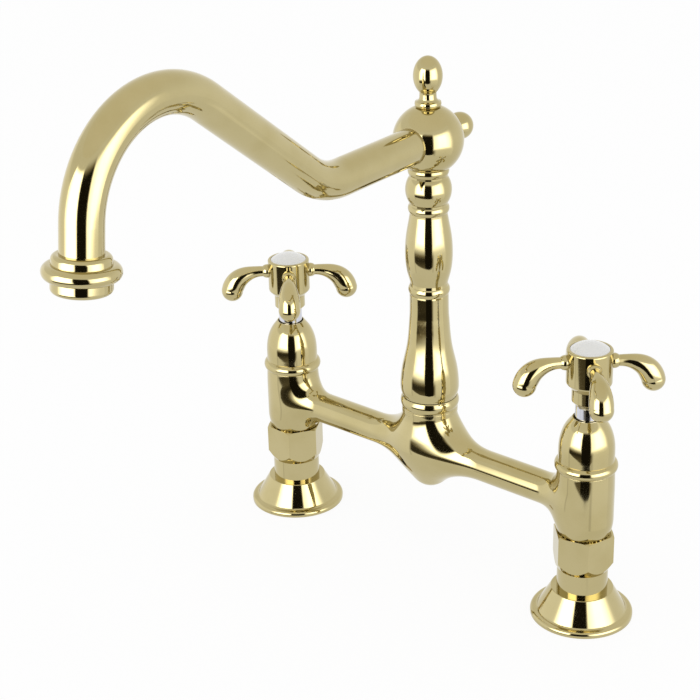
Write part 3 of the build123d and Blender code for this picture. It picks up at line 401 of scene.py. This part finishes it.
def turned(profile, sides):
    """Corners, faces and normals of a ring turned from a closed loop of (radius, height)."""
    loop = np.array(profile)
    run = np.roll(loop, -1, 0) - np.roll(loop, 1, 0)
    facing = np.stack([run[:, 1], -run[:, 0]], -1) / np.linalg.norm(run, axis=-1)[:, None]
    angle = 2 * math.pi * np.arange(sides) / sides
    wheel = np.stack([np.cos(angle), np.sin(angle)], -1)

    def spun(part):
        heights = np.repeat(part[None, :, 1:], sides, 0)
        return np.concatenate([wheel[:, None, :] * part[None, :, :1], heights], -1).reshape(-1, 3)

    n = len(loop)
    faces = [
        (i * n + j, (i + 1) % sides * n + j, (i + 1) % sides * n + (j + 1) % n, i * n + (j + 1) % n)
        for i in range(sides)
        for j in range(n)
    ]
    return spun(loop), np.array(faces), spun(facing)


def make_casting(finish):
    """The casting's arms run into its three bodies in one flowing skin, which stands for the CAD node."""
    shells = (
        sharpen_rims(skin_mesh(casting, *CASTING_BOX, CELL), CELL),
        turned(rounded_section(RING_BORE, NECK_R, RING_BOTTOM, NECK_TOP, RING_EDGE), RING_SIDES),
    )
    corners, faces, normals = [], [], []
    for shell in shells:
        faces += (shell[1] + len(corners)).tolist()
        corners += (shell[0] * 0.001).tolist()
        normals += shell[2].tolist()
    mesh = bpy.data.meshes.new("bridge_casting")
    mesh.from_pydata(corners, [], faces)
    mesh.polygons.foreach_set("use_smooth", [True] * len(faces))
    mesh.normals_split_custom_set_from_vertices(normals)
    mesh.materials.append(finish)
    obj = bpy.data.objects.new("bridge_casting", mesh)
    bpy.context.scene.collection.objects.link(obj)
    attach(obj, "bridge")
    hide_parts("bridge_body")


# ---------------------------------------------------------------- studio
def step(value, start, end):
    """Smooth step from 0 to 1 as value goes from start to end."""
    share = min(1.0, max(0.0, (value - start) / (end - start)))
    return share * share * (3 - 2 * share)


def screen(name, radius, turns, heights, cells, paint):
    """Curved upright screen round the object that glows only for reflections and lights nothing: it paints
    the reflections in the metal. turns are degrees from -Y towards +X and heights metres. paint(turn, height)
    gives the glow's three colours and its cover."""
    nu, nv = cells
    points, colours = [], []
    for j in range(nv + 1):
        z = heights[0] + (heights[1] - heights[0]) * j / nv
        for i in range(nu + 1):
            turn = turns[0] + (turns[1] - turns[0]) * i / nu
            angle = math.radians(turn)
            points.append((radius * math.sin(angle), -radius * math.cos(angle), z))
            colours.append(paint(turn, z))
    starts = [j * (nu + 1) + i for j in range(nv) for i in range(nu)]
    faces = [(a, a + 1, a + nu + 2, a + nu + 1) for a in starts]
    mesh = bpy.data.meshes.new(name)
    mesh.from_pydata(points, [], faces)
    layer = mesh.color_attributes.new("glow", "FLOAT_COLOR", "POINT")
    for entry, colour in zip(layer.data, colours):
        entry.color = colour
    made = bpy.data.materials.new(name)
    made.use_nodes = True
    t = Tree(made.node_tree)
    painted = t.add("ShaderNodeAttribute", attribute_name="glow")
    glow = t.add("ShaderNodeEmission", {"Color": painted.outputs["Color"], "Strength": 1.0})
    clear = t.add("ShaderNodeBsdfTransparent")
    cover = painted.outputs["Alpha"]
    shade = t.add("ShaderNodeMixShader", {0: cover, 1: clear.outputs[0], 2: glow.outputs[0]})
    t.add("ShaderNodeOutputMaterial", {"Surface": shade.outputs[0]})
    mesh.materials.append(made)
    obj = bpy.data.objects.new(name, mesh)
    bpy.context.scene.collection.objects.link(obj)
    obj.visible_camera = obj.visible_diffuse = obj.visible_shadow = obj.visible_transmission = False


def curve(value, points):
    """Value read off a line through points, level beyond its ends."""
    if value <= points[0][0]:
        return points[0][1]
    for (x0, y0), (x1, y1) in zip(points, points[1:]):
        if value <= x1:
            return y0 + (y1 - y0) * (value - x0) / (x1 - x0)
    return points[-1][1]


SCREEN_R = 0.9               # metres from the spout's axis to the screen
SCREEN_TURNS, SCREEN_HEIGHTS = (-104.0, 130.0), (-0.5, 0.95)
SCREEN_CELLS = (468, 290)
# The pairs below are (degrees from -Y towards +X, value) or (height in metres, value).
# Painted reflection: brightness of the screen at mid height, where 1 is the level of the surround: a bright
# white band on each side of the dark gap that the camera stands in.
ACROSS = (
    (-104, 1.1), (-85, 1.25), (-45, 1.2), (-35, 1.25), (-31, 1.65), (-27, 2.8), (-20, 4.4), (-10, 5.2),
    (10, 5.2), (15.5, 4.0), (17.5, 2.0), (20, 0.012), (51.5, 0.012), (53.5, 0.3), (55, 1.4), (58, 2.6),
    (66, 3.4), (75, 4.2), (95, 4.2), (106, 3.4), (114, 2.2), (122, 1.2), (128, 1.05),
)
# Its painted brightness going up, over the dark band and beside it.
DARK_BAND_RISE = (
    (-0.34, 0.18), (-0.25, 0.09), (-0.19, 0.04), (-0.14, 0.06), (-0.10, 0.35), (-0.05, 1.1), (0.0, 2.4),
    (0.08, 5.2),
)
BESIDE = ((-0.50, 1.0), (-0.20, 1.15), (-0.10, 1.2), (-0.05, 1.5), (0.0, 2.4), (0.08, 5.2))
# Height at which it starts to fade into the surround, and over how much height it does.
TOP = ((-30, 0.45), (-20, 0.68), (18, 0.68), (26, 0.62), (50, 0.60), (60, 0.54))
FADE = ((-20, 0.10), (18, 0.10), (26, 0.26), (60, 0.24))
# Height of the dark band's near edge, rounded under the gap, and how soft the edge is.
EDGE = (
    (-40, -0.20), (-30, -0.24), (-20, -0.275), (0, -0.325), (20, -0.362), (38, -0.385), (50, -0.362),
    (60, -0.29), (66, -0.2),
)
EDGE_SOFT = 0.008
# Each pair goes from nothing to full: the dark band's two ends, and the screen's clear borders.
DARK_BAND_LEFT, DARK_BAND_RIGHT = (-39, -30), (66, 52)
LEFT_BORDER, RIGHT_BORDER, LOWER_BORDER = (-104, -95), (130, 124), (-0.50, -0.42)
GREEN_LOSS, BLUE_LOSS = 0.14, 0.42                 # warm tint painted on the dark band's darkest part


def reflection_paint(turn, z):
    """Painted reflection of the studio that the polished brass shows: two bright white bands with a dark gap
    between them, and under them a dark band with a sharp near edge."""
    glow = curve(turn, ACROSS)
    top = curve(turn, TOP)
    glow = 1 + (glow - 1) * step(z, top + curve(turn, FADE), top)
    # painted reflection and shade: a dark, warm-tinted band low on the screen, with a sharp near edge
    dark_band = step(turn, *DARK_BAND_LEFT) * step(turn, *DARK_BAND_RIGHT)
    glow = min(glow, curve(z, DARK_BAND_RISE) * dark_band + curve(z, BESIDE) * (1 - dark_band))
    edge = curve(turn, EDGE)
    cover = 1 - dark_band * step(z, edge + EDGE_SOFT, edge - EDGE_SOFT)
    cover *= step(turn, *LEFT_BORDER) * step(turn, *RIGHT_BORDER) * step(z, *LOWER_BORDER)
    warm = dark_band * step(glow, 0.8, 0.1)
    return (glow, glow * (1 - GREEN_LOSS * warm), glow * (1 - BLUE_LOSS * warm), cover)


def make_world():
    """White surround, plain for the light that falls on the object and brighter where a ray shows it."""
    world = bpy.data.worlds.new("surround")
    bpy.context.scene.world = world
    world.use_nodes = True
    t = Tree(world.node_tree)
    ray = t.add("ShaderNodeLightPath")
    glossy = ray.outputs["Is Glossy Ray"]
    seen = t.math("MAXIMUM", ray.outputs["Is Camera Ray"], glossy)
    seen = t.math("MAXIMUM", seen, ray.outputs["Is Transmission Ray"])
    # reflections find the surround a little brighter level with the object and warmer overhead
    generated = t.add("ShaderNodeTexCoord").outputs["Generated"]
    upward = t.add("ShaderNodeSeparateXYZ", {0: generated}).outputs[2]
    level = t.fade(t.math("ABSOLUTE", upward), 0.0, 0.7, 1.07, 0.97)
    warm = t.mix(t.fade(upward, 0.2, 1.0), rgb(1, 1, 1), rgb(1, 0.97, 0.89))
    shown = t.mix(glossy, rgb(1, 1, 1), warm)
    level = t.math("ADD", 1.0, t.math("MULTIPLY", t.math("SUBTRACT", level, 1.0), glossy))
    strength = t.math("MULTIPLY", t.fade(seen, 0, 1, 0.88, 1.0), level)
    back = t.add("ShaderNodeBackground", {"Color": shown, "Strength": strength})
    t.add("ShaderNodeOutputWorld", {"Surface": back.outputs[0]})


def make_floor():
    """Pale paper floor, mostly plain white where the camera sees it, with part of the shadow kept."""
    half = 6.0
    corners = [(-half, -half, 0), (half, -half, 0), (half, half, 0), (-half, half, 0)]
    mesh = bpy.data.meshes.new("floor")
    mesh.from_pydata(corners, [], [(0, 1, 2, 3)])
    floor = bpy.data.objects.new("floor", mesh)
    bpy.context.scene.collection.objects.link(floor)
    made = bpy.data.materials.new("floor_paper")
    made.use_nodes = True
    t = Tree(made.node_tree)
    mottle = t.noise(6.0, 3.0, vector=t.place())
    paper = t.add(
        "ShaderNodeBsdfPrincipled",
        {
            "Base Color": t.mix(mottle, rgb(0.99, 0.99, 0.99), rgb(0.97, 0.97, 0.97)),
            "Roughness": 0.9,
            "Specular IOR Level": 0.1,
        },
    )
    white = t.add("ShaderNodeEmission", {"Color": rgb(1, 1, 1), "Strength": 1.0})
    share = t.math("MULTIPLY", t.add("ShaderNodeLightPath").outputs["Is Camera Ray"], 0.9)
    both = t.add("ShaderNodeMixShader", {0: share, 1: paper.outputs[0], 2: white.outputs[0]})
    t.add("ShaderNodeOutputMaterial", {"Surface": both.outputs[0]})
    mesh.materials.append(made)
    floor.visible_glossy = False


def make_lamp():
    """Soft lamp over the object's front, for the shadow on the floor."""
    place = Vector((0.3, -0.5, 1.7))
    data = bpy.data.lights.new("soft_lamp", "AREA")
    data.shape = "DISK"
    data.size = 1.2
    data.energy = 2.0
    lamp = bpy.data.objects.new("soft_lamp", data)
    lamp.location = place
    lamp.rotation_euler = place.to_track_quat("Z", "Y").to_euler()
    lamp.visible_glossy = False
    bpy.context.scene.collection.objects.link(lamp)


make_camera()
finishes = finish_nodes()
make_casting(finishes["polished_brass"])
# painted reflections: a glowing screen that only the metal's reflections show
screen("front", SCREEN_R, SCREEN_TURNS, SCREEN_HEIGHTS, SCREEN_CELLS, reflection_paint)
make_world()
make_floor()
make_lamp()
bpy.context.scene.view_settings.view_transform = "Standard"
